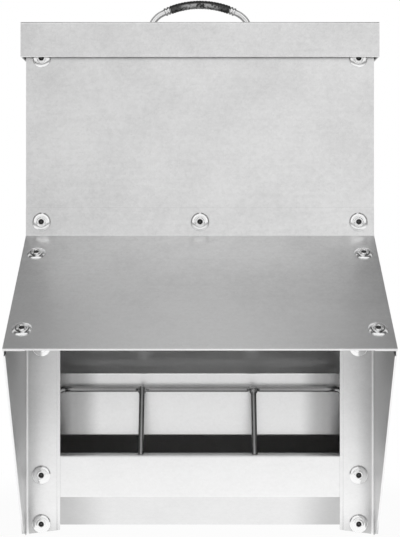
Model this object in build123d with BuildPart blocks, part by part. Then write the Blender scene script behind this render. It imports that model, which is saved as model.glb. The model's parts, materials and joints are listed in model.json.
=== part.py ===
from build123d import *
import os
from math import asin, atan2, cos, degrees, radians, sin, sqrt, tan

# Galvanised-steel poultry feeder with a gravity hopper, a rain hood and a hinged lid.
# Millimetres. +X is the width, the front faces -Y and +Z is up.
# The origin lies on the ground, under the middle of the whole feeder.

# Sheet and folds
sheet = 0.8
fold_radius = 1.6
hem_radius = 0.9
hem_width = 8.0
hem_thickness = 2 * hem_radius + 0.04
notch_gap = 0.4
side_clearance = 1.0

# Body
body_width = 300.0
body_depth = 230.0
body_height = 439.4
front_flange = 29.4
rear_flange = 20.0
flange_bottom_rise = 3.5

# Front panel, which folds back into the hopper's baffle
baffle_fold_height = 178.0
baffle_set_back = 45.0
baffle_pitch = 45.0
baffle_bottom = 77.5

# Trough
lip_height = 67.4
lip_width = 12.5
trough_wall_height = 35.7
trough_pitch = 45.0
trough_rear_flange = 20.0
trough_rear_gap = 2.0

# Feed ramp
ramp_height = 150.0
ramp_pitch = 45.0
ramp_rear_flange = 20.0
ramp_foot = 15.0

# Rain hood and its side cheeks
hood_joint_height = 257.0
hood_flange = 24.0
hood_reach = 124.0
hood_pitch = 35.0
cheek_flange = 26.5
cheek_top_flange = 17.0
cheek_toe_reach = 25.0
cheek_toe_rise = 6.0
cheek_relief = 8.0

# Lid
lid_side_overhang = 4.0
lid_front_overhang = 5.0
lid_rear_overhang = 2.5
lid_skirt = 30.2
lid_seat_gap = 0.3
lid_corner_gap = 0.3

# Hinges
hinge_edge = 60.0
hinge_length = 40.0
hinge_leaf_thickness = 1.2
hinge_leaf_height = 24.0
hinge_barrel_radius = 2.8
hinge_pin_radius = 1.5
hinge_pin_clearance = 0.05
hinge_pin_head = 0.8
hinge_pin_head_taper = 20
hinge_knuckle_length = 13.6
hinge_running_gap = 0.3
hinge_rivet_spread = 22.0

# Handle
handle_rod_radius = 3.0
handle_span = 95.0
handle_stub = 17.5
handle_bend = 5.0
handle_crown_rise = 34.4
handle_crown_radius = 80.0
handle_shoulder_radius = 20.0
grip_length = 56.8
grip_radius = 4.15
grip_clearance = 0.05
collar_radius = 3.9
collar_width = 2.6
collar_pitch = 3.0
saddle_thickness = 1.2
saddle_width = 10.0
saddle_tab = 9.0
saddle_tab_corner = 3.0
saddle_clearance = 0.15
saddle_ground_gap = 0.4
saddle_inset = 5.5

# Wire grille
wire_radius = 2.5
rail_drop = 13.0
rail_edge = 22.0
rail_lean = 29.0
rail_bend = 8.0
wire_lip_inset = 7.7
wire_tail = 6.0
wire_gap = 0.05
wire_hole_clearance = 0.1
left_divider_edge = 98.5
right_divider_edge = 102.5
divider_overlap = 2.5

# Rivets
rivet_radius = 2.4
rivet_clearance = 0.1
big_head_radius = 8.0
big_head_height = 2.0
big_hub_radius = 3.6
small_head_radius = 4.75
small_head_height = 1.2
small_hub_radius = 2.6
mini_rivet_radius = 1.6
mini_head_radius = 3.2
mini_head_height = 1.0
mini_hub_radius = 1.7
rivet_rim = 0.4
rivet_tail = 4.5
mini_rivet_tail = 2.6
flush_rivet_tail = 1.2
mandrel_share = 0.68
bulb_share = 1.45
drill_depth = 12.0
front_rivet_edge = 13.4
top_rivet_drop = 29.4
foot_rivet_height = 9.0
wall_rivet_drop = 16.4
top_leg_rivet_drop = 17.0
hood_rivet_edge = 12.0
hood_rivet_shares = (0.175, 0.842)
back_rivet_edge = 10.5
back_rivet_foot = 40.0
back_rivet_drop = 45.4
back_rivet_rows = 4
inner_rivet_edge = 50.0

# Places worked out from the sizes above
half_width = body_width / 2
inner_half = half_width - sheet - side_clearance
barrel_diameter = 2 * hinge_barrel_radius
front = (hood_reach - body_depth - barrel_diameter) / 2
back = front + body_depth
baffle_y = front + baffle_set_back
baffle_knee_height = baffle_fold_height - baffle_set_back * tan(radians(baffle_pitch))
lower_flange_top = baffle_fold_height - sheet - notch_gap
upper_flange_bottom = baffle_fold_height + sheet + 2 * notch_gap
wall_y = front + sheet
wall_bottom = lip_height - trough_wall_height
floor_front = wall_y + wall_bottom / tan(radians(trough_pitch))
back_inside = back - sheet
lid_top = body_height + lid_seat_gap + sheet
skirt_bottom = lid_top - lid_skirt
lid_half = half_width + lid_side_overhang
lid_front = front - lid_front_overhang
lid_back = back + lid_rear_overhang
rail_height = baffle_knee_height - rail_drop
rail_half_length = half_width - rail_edge
divider_positions = (left_divider_edge - half_width, half_width - right_divider_edge)

# Places of the rivets
front_rivet_x = half_width - front_rivet_edge
top_rivet_height = body_height - top_rivet_drop
wall_rivet_height = lip_height - wall_rivet_drop
top_leg_rivet_height = baffle_fold_height - top_leg_rivet_drop
leg_rivet_heights = (foot_rivet_height, wall_rivet_height, top_leg_rivet_height)
hood_rivet_x = half_width - hood_rivet_edge
back_rivet_x = half_width - back_rivet_edge
back_rivet_pitch = (body_height - back_rivet_drop - back_rivet_foot) / (back_rivet_rows - 1)
back_rivet_heights = [back_rivet_foot + row * back_rivet_pitch for row in range(back_rivet_rows)]
inner_rivet_spread = half_width - inner_rivet_edge

# Slope of the hood, measured down from its joint with the front panel
pitch = radians(hood_pitch)
hood_joint = Vector(0, front - sheet, hood_joint_height)
down_slope = Vector(0, -cos(pitch), -sin(pitch))
hood_normal = Vector(0, -sin(pitch), cos(pitch))
hood_length = (hood_reach - sheet) / cos(pitch)
hood_tip = hood_joint + down_slope * hood_length

os.makedirs("parts", exist_ok=True)


def folded(points, turns, side):
    """A sheet's folded outline: a line on its outer face, thickened to one side."""
    with BuildLine() as outline:
        face_line = FilletPolyline(*points, radius=turns)
        offset(face_line, amount=sheet, side=side)
    make_face(outline.edges())


def yz(vector):
    """A point's place in the side view."""
    return (vector.Y, vector.Z)


def facing(x, y, z, direction):
    """A seat at a point, with its own Z axis along the given direction."""
    return Plane(origin=(x, y, z), x_dir=(1, 0, 0), z_dir=direction)


FORWARD = (0, -1, 0)
BACKWARD = (0, 1, 0)
UPWARD = (0, 0, 1)


def finish(builder, name):
    """Label a finished piece and write it to its own file."""
    builder.part.label = name
    export_step(builder.part, "parts/" + name + ".step")


# Seats of the rivets, each at the middle of its head's underside
top_seats = [facing(x, front, top_rivet_height, FORWARD) for x in (-front_rivet_x, front_rivet_x)]
hood_rivet_height = hood_joint_height + hood_flange / 2
hood_flange_seats = [
    facing(x, front - sheet, hood_rivet_height, FORWARD) for x in (-front_rivet_x, 0, front_rivet_x)
]
hood_roof_seats = []
for share in hood_rivet_shares:
    for x in (-hood_rivet_x, hood_rivet_x):
        spot = hood_joint + down_slope * (share * hood_length)
        hood_roof_seats.append(facing(x, spot.Y, spot.Z, hood_normal))
left_leg_seats = [facing(-front_rivet_x, front - sheet, z, FORWARD) for z in leg_rivet_heights]
right_leg_seats = [facing(front_rivet_x, front - sheet, z, FORWARD) for z in leg_rivet_heights]
back_seats = []
for z in back_rivet_heights:
    for x in (-back_rivet_x, back_rivet_x):
        back_seats.append(facing(x, back, z, BACKWARD))
inner_spread = (-inner_rivet_spread, 0, inner_rivet_spread)
trough_rivet_height = trough_rear_flange / 2 + fold_radius
trough_seats = [facing(x, back, trough_rivet_height, BACKWARD) for x in inner_spread]
ramp_rivet_height = ramp_height + ramp_rear_flange / 2 + fold_radius / 2
ramp_seats = [facing(x, back, ramp_rivet_height, BACKWARD) for x in inner_spread]

# Hinge line and the seats of the hinge rivets
hinge_y = back + hinge_barrel_radius
hinge_z = skirt_bottom - hinge_running_gap - hinge_barrel_radius
hinge_xs = (hinge_edge - half_width, half_width - hinge_edge)
body_leaf_bottom = hinge_z - hinge_leaf_height
lid_leaf_top = skirt_bottom + hinge_leaf_height
body_leaf_rivet_height = body_leaf_bottom + hinge_leaf_height / 2 - hinge_barrel_radius
lid_leaf_rivet_height = skirt_bottom + hem_width + (hinge_leaf_height - hem_width) / 2
body_leaf_seats = []
lid_leaf_seats = []
for hinge_x in hinge_xs:
    for x in (hinge_x - hinge_rivet_spread / 2, hinge_x + hinge_rivet_spread / 2):
        body_leaf_seats.append(
            facing(x, back + hinge_leaf_thickness, body_leaf_rivet_height, BACKWARD)
        )
        lid_leaf_seats.append(
            facing(x, lid_back + hinge_leaf_thickness, lid_leaf_rivet_height, BACKWARD)
        )

# Handle pivot and the seats of the saddle rivets
handle_y = (lid_front + lid_back) / 2
pivot_z = lid_top + saddle_ground_gap + handle_rod_radius
saddle_x = handle_span / 2 + saddle_inset + saddle_width / 2
saddle_outer = handle_rod_radius + saddle_clearance + saddle_thickness
saddle_rivet_reach = saddle_outer + saddle_tab / 2
saddle_seats = []
for x in (-saddle_x, saddle_x):
    for y in (handle_y - saddle_rivet_reach, handle_y + saddle_rivet_reach):
        saddle_seats.append(facing(x, y, lid_top + saddle_thickness, UPWARD))


def drill(seats, radius):
    """Rivet holes through whatever lies under the seats."""
    with Locations(*[Location(seat) for seat in seats]):
        Cylinder(radius + rivet_clearance, drill_depth, mode=Mode.SUBTRACT)


# Side panel: one sheet with its front and rear edges folded inwards.
# The front flange is notched where the front panel passes through to become the baffle.
# Below the notch the flange stands one sheet further forward.
with BuildPart() as left_side_panel:
    notch_front = front + 2 * fold_radius
    rear_fold = back_inside - fold_radius
    rear_end = (rear_flange - half_width, back_inside)
    with BuildSketch(Plane.XY):
        folded(
            [(front_flange - half_width, front), (-half_width, front), (-half_width, back_inside), rear_end],
            fold_radius,
            Side.RIGHT,
        )
    extrude(amount=lower_flange_top)
    with BuildSketch(Plane.XY.offset(lower_flange_top)):
        folded([(-half_width, notch_front), (-half_width, back_inside), rear_end], fold_radius, Side.RIGHT)
    extrude(amount=upper_flange_bottom - lower_flange_top)
    with BuildSketch(Plane.XY.offset(upper_flange_bottom)):
        folded(
            [(front_flange - half_width, wall_y), (-half_width, wall_y), (-half_width, back_inside), rear_end],
            fold_radius,
            Side.RIGHT,
        )
    extrude(amount=body_height - upper_flange_bottom)
    # The rear flange stops above the trough's floor
    with BuildSketch(Plane.XY):
        with Locations((-half_width, back_inside)):
            Rectangle(2 * rear_flange + sheet, 2 * fold_radius, align=(Align.CENTER, Align.CENTER))
    extrude(amount=trough_rear_flange + trough_rear_gap, mode=Mode.SUBTRACT)
    # The foot of the front flange is trimmed upwards towards the opening
    with BuildSketch(Plane.XZ.offset(-front)):
        with BuildLine():
            Polyline(
                (-half_width + fold_radius, 0),
                (front_flange - half_width + sheet, 0),
                (front_flange - half_width + sheet, flange_bottom_rise),
                close=True,
            )
        make_face()
    extrude(amount=2 * fold_radius, both=True, mode=Mode.SUBTRACT)
    drill(top_seats + hood_flange_seats + left_leg_seats + back_seats, rivet_radius)
finish(left_side_panel, "left_side_panel")

with BuildPart() as right_side_panel:
    mirror(left_side_panel.part, about=Plane.YZ)
finish(right_side_panel, "right_side_panel")

# Front panel: full width above, narrower where it passes between the side panels.
# It folds back at an angle, drops as the baffle over the trough and ends in a hem.
with BuildPart() as front_panel:
    with BuildSketch(Plane.YZ):
        folded(
            [
                (front, body_height),
                (front, baffle_fold_height),
                (baffle_y, baffle_knee_height),
                (baffle_y, baffle_bottom),
                (baffle_y + hem_thickness, baffle_bottom),
                (baffle_y + hem_thickness, baffle_bottom + hem_width),
            ],
            [fold_radius, fold_radius, hem_radius, hem_radius],
            Side.LEFT,
        )
    extrude(amount=half_width, both=True)
    with BuildSketch(Plane.YZ.offset(inner_half)):
        with Locations((front - sheet, upper_flange_bottom)):
            Rectangle(2 * baffle_set_back, upper_flange_bottom, align=(Align.MIN, Align.MAX))
    extrude(amount=side_clearance + 2 * sheet, mode=Mode.SUBTRACT)
    with BuildSketch(Plane.YZ.offset(-inner_half)):
        with Locations((front - sheet, upper_flange_bottom)):
            Rectangle(2 * baffle_set_back, upper_flange_bottom, align=(Align.MIN, Align.MAX))
    extrude(amount=-side_clearance - 2 * sheet, mode=Mode.SUBTRACT)
    drill(top_seats + hood_flange_seats, rivet_radius)
finish(front_panel, "front_panel")

# Back panel: a flat sheet over the rear flanges of the sides
with BuildPart() as back_panel:
    with BuildSketch(Plane.XZ.offset(-back)):
        with Locations((0, body_height / 2)):
            Rectangle(body_width, body_height)
    extrude(amount=sheet)
    drill(back_seats + trough_seats + ramp_seats, rivet_radius)
    drill(body_leaf_seats, mini_rivet_radius)
finish(back_panel, "back_panel")

# The wire grille leans back from the trough's lip
lean = radians(rail_lean)
wire_foot_y = wall_y + wire_lip_inset
rail_y = wire_foot_y + (rail_height - lip_height) * tan(lean)
divider_top_y = rail_y - (2 * wire_radius + wire_gap) / cos(lean)
divider_lean = atan2(divider_top_y - wire_foot_y, rail_height - lip_height)


def wire_plane(angle):
    """A plane that stands on the lip and leans back, with its own Y axis up the wire."""
    return Plane(
        origin=(0, wire_foot_y, lip_height), x_dir=(1, 0, 0), z_dir=(0, -cos(angle), sin(angle))
    )


def punch(x_positions, angle):
    """Holes in the lip for wires that lean by an angle."""
    plane = wire_plane(angle)
    for x in x_positions:
        axis_plane = Plane(origin=plane.from_local_coords((x, 0, 0)), x_dir=(1, 0, 0), z_dir=plane.y_dir)
        with Locations(Location(axis_plane)):
            Cylinder(wire_radius + wire_hole_clearance, 4 * wire_radius, mode=Mode.SUBTRACT)


# Trough: lip, front wall, sloping toe, floor and a rear flange, folded from one sheet
with BuildPart() as trough:
    with BuildSketch(Plane.YZ):
        folded(
            [
                (wall_y + lip_width, lip_height),
                (wall_y, lip_height),
                (wall_y, wall_bottom),
                (floor_front, 0),
                (back_inside, 0),
                (back_inside, trough_rear_flange),
            ],
            fold_radius,
            Side.LEFT,
        )
    extrude(amount=inner_half, both=True)
    drill(left_leg_seats + right_leg_seats + trough_seats, rivet_radius)
    punch((-rail_half_length, rail_half_length), lean)
    punch(divider_positions, divider_lean)
finish(trough, "trough")

# Feed ramp: carries the feed from the back of the hopper down to the trough
with BuildPart() as feed_ramp:
    ramp_run = (ramp_height - sheet) / tan(radians(ramp_pitch))
    with BuildSketch(Plane.YZ):
        folded(
            [
                (back_inside, ramp_height + ramp_rear_flange),
                (back_inside, ramp_height),
                (back_inside - ramp_run, sheet),
                (back_inside - ramp_run - ramp_foot, sheet),
            ],
            fold_radius,
            Side.RIGHT,
        )
    extrude(amount=inner_half, both=True)
    # Both rear corners are notched round the rear flanges of the sides
    with BuildSketch(Plane.XY.offset(ramp_height - 4 * fold_radius)):
        with Locations((-inner_half, back), (inner_half, back)):
            Rectangle(
                2 * (inner_half - half_width + rear_flange + notch_gap),
                2 * (2 * sheet + notch_gap),
            )
    extrude(amount=ramp_rear_flange + 8 * fold_radius, mode=Mode.SUBTRACT)
    drill(ramp_seats, rivet_radius)
finish(feed_ramp, "feed_ramp")

# Rain hood: a rear flange on the front panel, the sloping roof and a hemmed front edge
with BuildPart() as rain_hood:
    hem_corner = hood_tip - hood_normal * hem_thickness
    with BuildSketch(Plane.YZ):
        folded(
            [
                (front - sheet, hood_joint_height + hood_flange),
                yz(hood_joint),
                yz(hood_tip),
                yz(hem_corner),
                yz(hem_corner - down_slope * hem_width),
            ],
            [fold_radius, hem_radius, hem_radius],
            Side.LEFT,
        )
    extrude(amount=half_width, both=True)
    drill(hood_flange_seats + hood_roof_seats, rivet_radius)
finish(rain_hood, "rain_hood")

# Side cheek under the hood: a triangular sheet with a flange on the leg,
# a flange under the roof and a hem along its free edge
flange_level = hem_thickness
cheek_line = hood_joint - hood_normal * (flange_level + fold_radius)
cheek_top_front = cheek_line + down_slope * hood_length
cheek_top_rear = cheek_line + down_slope * cheek_relief
cheek_toe = Vector(0, front - cheek_toe_reach, cheek_toe_rise)
free_edge = cheek_top_front - cheek_toe
free_edge_length = free_edge.length
edge_direction = free_edge.normalized()
edge_inward = Vector(0, edge_direction.Z, -edge_direction.Y)
hem_set_back = edge_inward * hem_radius
with BuildPart() as left_cheek:
    with BuildSketch(Plane.XY):
        folded(
            [
                (cheek_flange - half_width, front),
                (-half_width, front),
                (-half_width, front - 3 * fold_radius),
            ],
            fold_radius,
            Side.LEFT,
        )
    extrude(amount=cheek_top_rear.Z - cheek_relief / 2)
    with BuildSketch(Plane.YZ.offset(-half_width)):
        with BuildLine():
            Polyline(
                (front - fold_radius, 0),
                yz(cheek_toe + hem_set_back),
                yz(cheek_top_front + hem_set_back),
                yz(cheek_top_rear),
                (front - fold_radius, cheek_top_rear.Z - cheek_relief),
                close=True,
            )
        make_face()
    extrude(amount=sheet)
    top_plane = Plane(
        origin=hood_joint + down_slope * cheek_relief, x_dir=(1, 0, 0), z_dir=down_slope
    )
    with BuildSketch(top_plane):
        # In this plane +Y points up out of the roof
        folded(
            [
                (-half_width, -flange_level - 3 * fold_radius),
                (-half_width, -flange_level),
                (cheek_top_flange - half_width, -flange_level),
            ],
            fold_radius,
            Side.RIGHT,
        )
    extrude(amount=hood_length - cheek_relief - hem_radius)
    hem_plane = Plane(
        origin=Vector(-half_width, 0, 0) + cheek_toe, x_dir=edge_inward, z_dir=edge_direction
    )
    with BuildSketch(hem_plane):
        # In this plane +X points into the cheek and +Y out of the feeder
        folded(
            [
                (2 * hem_radius, 0),
                (0, 0),
                (0, -hem_thickness),
                (hem_width, -hem_thickness),
            ],
            [hem_radius, hem_radius],
            Side.LEFT,
        )
    extrude(amount=free_edge_length - 2 * fold_radius)
    # The foot of the flange is trimmed upwards towards the opening
    with BuildSketch(Plane.XZ.offset(-front)):
        with BuildLine():
            Polyline(
                (-half_width + fold_radius, 0),
                (cheek_flange - half_width + sheet, 0),
                (cheek_flange - half_width + sheet, flange_bottom_rise),
                close=True,
            )
        make_face()
    extrude(amount=2 * fold_radius, both=True, mode=Mode.SUBTRACT)
    drill(left_leg_seats + hood_roof_seats, rivet_radius)
finish(left_cheek, "left_cheek")

with BuildPart() as right_cheek:
    mirror(left_cheek.part, about=Plane.YZ)
finish(right_cheek, "right_cheek")

# Lid: a shallow tray with hemmed skirts, open at its corners as folded sheet is
with BuildPart() as lid:
    with BuildSketch(Plane.YZ):
        folded(
            [
                (lid_front + hem_thickness, skirt_bottom + hem_width),
                (lid_front + hem_thickness, skirt_bottom),
                (lid_front, skirt_bottom),
                (lid_front, lid_top),
                (lid_back, lid_top),
                (lid_back, skirt_bottom),
                (lid_back - hem_thickness, skirt_bottom),
                (lid_back - hem_thickness, skirt_bottom + hem_width),
            ],
            [hem_radius, hem_radius, fold_radius, fold_radius, hem_radius, hem_radius],
            Side.RIGHT,
        )
    extrude(amount=lid_half, both=True)
    # The edges over the side skirts are cut back to the fold
    with BuildSketch(Plane.XY.offset(lid_top)):
        with Locations((0, (lid_front + lid_back) / 2)):
            Rectangle(2 * lid_half, lid_back - lid_front - 2 * hem_thickness)
            Rectangle(
                2 * (lid_half - fold_radius),
                lid_back - lid_front - 2 * hem_thickness,
                mode=Mode.SUBTRACT,
            )
    extrude(amount=-2 * sheet, mode=Mode.SUBTRACT)
    skirt_run = lid_back - lid_front - 2 * hem_thickness - 2 * lid_corner_gap
    skirt_start = lid_front + hem_thickness + lid_corner_gap
    with BuildSketch(Plane.XZ.offset(-skirt_start)):
        folded(
            [
                (hem_thickness - lid_half, skirt_bottom + hem_width),
                (hem_thickness - lid_half, skirt_bottom),
                (-lid_half, skirt_bottom),
                (-lid_half, lid_top),
                (3 * fold_radius - lid_half, lid_top),
            ],
            [hem_radius, hem_radius, fold_radius],
            Side.RIGHT,
        )
        mirror(about=Plane.YZ)
    extrude(amount=-skirt_run)
    drill(saddle_seats + lid_leaf_seats, mini_rivet_radius)
finish(lid, "lid")

# Hinges: two leaves, each rolled round the pin
middle_half = hinge_knuckle_length / 2
outer_length = hinge_length / 2 - middle_half - hinge_running_gap
outer_middle = hinge_length / 2 - outer_length / 2
for side_name, hinge_x in zip(("left", "right"), hinge_xs):
    barrel_plane = Plane(origin=(hinge_x, hinge_y, hinge_z), x_dir=(0, 1, 0), z_dir=(1, 0, 0))
    # In this plane +X points back and +Y points up
    with BuildPart() as body_leaf:
        with BuildSketch(barrel_plane):
            Circle(hinge_barrel_radius)
            with Locations((-hinge_barrel_radius, 0)):
                Rectangle(hinge_leaf_thickness, hinge_leaf_height, align=(Align.MIN, Align.MAX))
        extrude(amount=hinge_length / 2, both=True)
        with BuildSketch(barrel_plane):
            clear_radius = hinge_barrel_radius + hinge_running_gap
            Rectangle(2 * clear_radius, 2 * clear_radius)
        extrude(amount=middle_half + hinge_running_gap, both=True, mode=Mode.SUBTRACT)
        with BuildSketch(barrel_plane):
            Circle(hinge_pin_radius + hinge_pin_clearance)
        extrude(amount=hinge_length, both=True, mode=Mode.SUBTRACT)
        drill(body_leaf_seats, mini_rivet_radius)
    finish(body_leaf, side_name + "_hinge_body_leaf")

    with BuildPart() as lid_leaf:
        leaf_offset = lid_rear_overhang - hinge_barrel_radius
        with BuildSketch(barrel_plane):
            with Locations((leaf_offset, hinge_barrel_radius + hinge_running_gap)):
                Rectangle(hinge_leaf_thickness, hinge_leaf_height, align=(Align.MIN, Align.MIN))
        extrude(amount=hinge_length / 2, both=True)
        with BuildSketch(barrel_plane):
            Circle(hinge_barrel_radius)
            with Locations((leaf_offset, 0)):
                Rectangle(
                    hinge_leaf_thickness, 2 * hinge_barrel_radius, align=(Align.MIN, Align.MIN)
                )
        extrude(amount=middle_half, both=True)
        with BuildSketch(barrel_plane):
            Circle(hinge_pin_radius + hinge_pin_clearance)
        extrude(amount=hinge_length, both=True, mode=Mode.SUBTRACT)
        drill(lid_leaf_seats, mini_rivet_radius)
    finish(lid_leaf, side_name + "_hinge_lid_leaf")

    with BuildPart() as hinge_pin:
        with BuildSketch(barrel_plane.offset(-hinge_length / 2)):
            Circle(hinge_pin_radius)
        extrude(amount=hinge_length)
        for end, out in ((hinge_length / 2, 1), (-hinge_length / 2, -1)):
            with BuildSketch(barrel_plane.offset(end)):
                Circle(hinge_barrel_radius - sheet / 2)
            extrude(amount=out * hinge_pin_head, taper=hinge_pin_head_taper)
    finish(hinge_pin, side_name + "_hinge_pin")

# Handle: a steel rod bent to a low arch, whose two feet turn outwards into the saddles
crown_plane = Plane(origin=(0, handle_y, pivot_z), x_dir=(1, 0, 0), z_dir=FORWARD)
half_span = handle_span / 2
crown_centre = handle_crown_rise - handle_crown_radius
shoulder_x = half_span - handle_shoulder_radius
shoulder_drop = sqrt((handle_crown_radius - handle_shoulder_radius) ** 2 - shoulder_x**2)
shoulder_z = crown_centre + shoulder_drop
crown_half_angle = degrees(asin(shoulder_x / (handle_crown_radius - handle_shoulder_radius)))


def crown_point(angle, radius=handle_crown_radius):
    """A point of the handle's crown, by its angle from the middle."""
    return (radius * sin(radians(angle)), crown_centre + radius * cos(radians(angle)))


def shoulder_point(sign, angle):
    """A point of a shoulder, by its angle above the horizontal."""
    return (
        sign * (shoulder_x + handle_shoulder_radius * cos(radians(angle))),
        shoulder_z + handle_shoulder_radius * sin(radians(angle)),
    )


with BuildPart() as handle_bail:
    with BuildLine(crown_plane) as bail_path:
        for sign in (-1, 1):
            FilletPolyline(
                (sign * (half_span + handle_stub), 0),
                (sign * half_span, 0),
                (sign * half_span, shoulder_z),
                radius=handle_bend,
            )
            ThreePointArc(
                (sign * half_span, shoulder_z),
                shoulder_point(sign, (90 - crown_half_angle) / 2),
                crown_point(sign * crown_half_angle),
            )
        ThreePointArc(
            crown_point(-crown_half_angle), crown_point(0), crown_point(crown_half_angle)
        )
    stub_end = crown_plane.from_local_coords((-half_span - handle_stub, 0, 0))
    with BuildSketch(Plane(origin=stub_end, x_dir=(0, 1, 0), z_dir=(1, 0, 0))):
        Circle(handle_rod_radius)
    sweep(path=bail_path.wires()[0])
finish(handle_bail, "handle_bail")

# Grip: a moulded sleeve that follows the crown
grip_half_angle = degrees(asin(grip_length / 2 / handle_crown_radius))
with BuildPart() as handle_grip:
    with BuildLine(crown_plane) as grip_path:
        ThreePointArc(
            crown_point(-grip_half_angle), crown_point(0), crown_point(grip_half_angle)
        )
    grip_end = crown_plane.from_local_coords((*crown_point(-grip_half_angle), 0))
    grip_tangent = (cos(radians(grip_half_angle)), 0, sin(radians(grip_half_angle)))
    with BuildSketch(Plane(origin=grip_end, x_dir=(0, 1, 0), z_dir=grip_tangent)):
        Circle(grip_radius)
        Circle(handle_rod_radius + grip_clearance, mode=Mode.SUBTRACT)
    sweep(path=grip_path.wires()[0])
finish(handle_grip, "handle_grip")

# Collars: two rounded rings beside each end of the grip
collar_angles = []
for place in (0.5, 1.5):
    collar_angles.append(grip_half_angle + degrees(place * collar_pitch / handle_crown_radius))
with BuildPart() as grip_collars:
    for sign in (-1, 1):
        for angle in collar_angles:
            middle = crown_plane.from_local_coords((*crown_point(sign * angle), 0))
            along = (cos(radians(angle)), 0, -sign * sin(radians(angle)))
            ring_plane = Plane(origin=middle, x_dir=(0, 1, 0), z_dir=along)
            side_plane = Plane(origin=middle, x_dir=ring_plane.x_dir, z_dir=-ring_plane.y_dir)
            bore = handle_rod_radius + grip_clearance
            with BuildSketch(side_plane):
                with BuildLine():
                    Polyline(
                        (bore, -collar_width / 2),
                        (collar_radius, -collar_width / 4),
                        (collar_radius, collar_width / 4),
                        (bore, collar_width / 2),
                        close=True,
                    )
                make_face()
            revolve(axis=Axis(middle, along))
finish(grip_collars, "grip_collars")

# Saddles: straps over the handle's feet, riveted to the lid
for side_name, x in (("left", -saddle_x), ("right", saddle_x)):
    strap_plane = Plane(origin=(x, handle_y, lid_top), x_dir=(0, 1, 0), z_dir=(1, 0, 0))
    pivot_rise = pivot_z - lid_top
    saddle_bore = handle_rod_radius + saddle_clearance
    with BuildPart() as saddle:
        with BuildSketch(strap_plane):
            Rectangle(
                2 * (saddle_outer + saddle_tab), saddle_thickness, align=(Align.CENTER, Align.MIN)
            )
            Rectangle(2 * saddle_outer, pivot_rise, align=(Align.CENTER, Align.MIN))
            with Locations((0, pivot_rise)):
                Circle(saddle_outer)
                Circle(saddle_bore, mode=Mode.SUBTRACT)
            with Locations((0, pivot_rise)):
                Rectangle(
                    2 * saddle_bore,
                    2 * saddle_outer,
                    align=(Align.CENTER, Align.MAX),
                    mode=Mode.SUBTRACT,
                )
        extrude(amount=saddle_width / 2, both=True)
        tab_corners = saddle.edges().filter_by(Axis.Z).group_by(Axis.Y)
        fillet(tab_corners[0] + tab_corners[-1], radius=saddle_tab_corner)
        drill(saddle_seats, mini_rivet_radius)
    finish(saddle, side_name + "_handle_saddle")

# Grille frame: one wire, bent down at both ends and set into the lip
frame_plane = wire_plane(lean)
rail_rise = (rail_height - lip_height) / cos(lean)
with BuildPart() as grille_frame:
    with BuildLine(frame_plane) as frame_path:
        FilletPolyline(
            (-rail_half_length, -wire_tail),
            (-rail_half_length, rail_rise),
            (rail_half_length, rail_rise),
            (rail_half_length, -wire_tail),
            radius=rail_bend,
        )
    frame_start = frame_plane.from_local_coords((-rail_half_length, -wire_tail, 0))
    with BuildSketch(Plane(origin=frame_start, x_dir=(1, 0, 0), z_dir=frame_plane.y_dir)):
        Circle(wire_radius)
    sweep(path=frame_path.wires()[0])
finish(grille_frame, "grille_frame")

# Dividers: straight wires in front of the rail, set into the lip
divider_plane = wire_plane(divider_lean)
divider_rise = (rail_height - lip_height) / cos(divider_lean) + divider_overlap
for side_name, x in zip(("left", "right"), divider_positions):
    divider_start = divider_plane.from_local_coords((x, -wire_tail, 0))
    with BuildPart() as divider:
        with BuildSketch(Plane(origin=divider_start, x_dir=(1, 0, 0), z_dir=divider_plane.y_dir)):
            Circle(wire_radius)
        extrude(amount=divider_rise + wire_tail)
    finish(divider, side_name + "_grille_divider")


def blind_rivet(shank, head, hub, height, grip, tail):
    """A set blind rivet: coned head with a flat hub round the mandrel's hole, shank and bulb."""
    mandrel = shank * mandrel_share
    bulb = shank * bulb_share
    with BuildPart() as rivet:
        with BuildSketch(Plane.XZ):
            with BuildLine():
                Polyline(
                    (0, 0),
                    (mandrel, 0),
                    (mandrel, height),
                    (hub, height),
                    (head, rivet_rim),
                    (head, 0),
                    (shank, 0),
                    (shank, -grip),
                    (bulb, -grip),
                    (bulb, -grip - tail),
                    (0, -grip - tail),
                    close=True,
                )
            make_face()
        revolve(axis=Axis.Z)
    return rivet.part


def rivet_row(name, seats, rivet):
    """Copies of a rivet at their seats, in one node."""
    with BuildPart() as row:
        with Locations(*[Location(seat) for seat in seats]):
            add(rivet)
    finish(row, name)


def big_rivet(grip):
    """The wide-headed rivet of the front."""
    return blind_rivet(
        rivet_radius, big_head_radius, big_hub_radius, big_head_height, grip, rivet_tail
    )


def small_rivet(grip):
    """The plain rivet of the back."""
    return blind_rivet(
        rivet_radius, small_head_radius, small_hub_radius, small_head_height, grip, rivet_tail
    )


def mini_rivet(grip, tail):
    """The thin rivet of the hinges and saddles."""
    return blind_rivet(
        mini_rivet_radius, mini_head_radius, mini_hub_radius, mini_head_height, grip, tail
    )


under_roof = flange_level + sheet
leaf_grip = hinge_leaf_thickness + sheet
rivet_row("front_panel_rivets", top_seats, big_rivet(2 * sheet))
rivet_row("hood_flange_rivets", hood_flange_seats[::2], big_rivet(3 * sheet))
rivet_row("hood_centre_rivet", hood_flange_seats[1:2], big_rivet(2 * sheet))
rivet_row("hood_roof_rivets", hood_roof_seats, big_rivet(under_roof))
rivet_row("left_leg_rivets", left_leg_seats[::2], big_rivet(2 * sheet))
rivet_row("right_leg_rivets", right_leg_seats[::2], big_rivet(2 * sheet))
rivet_row("trough_front_rivets", [left_leg_seats[1], right_leg_seats[1]], big_rivet(3 * sheet))
rivet_row("back_panel_rivets", back_seats, small_rivet(2 * sheet))
rivet_row("trough_rear_rivets", trough_seats, small_rivet(2 * sheet))
rivet_row("ramp_rivets", ramp_seats, small_rivet(2 * sheet))
rivet_row("hinge_body_rivets", body_leaf_seats, mini_rivet(leaf_grip, mini_rivet_tail))
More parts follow.
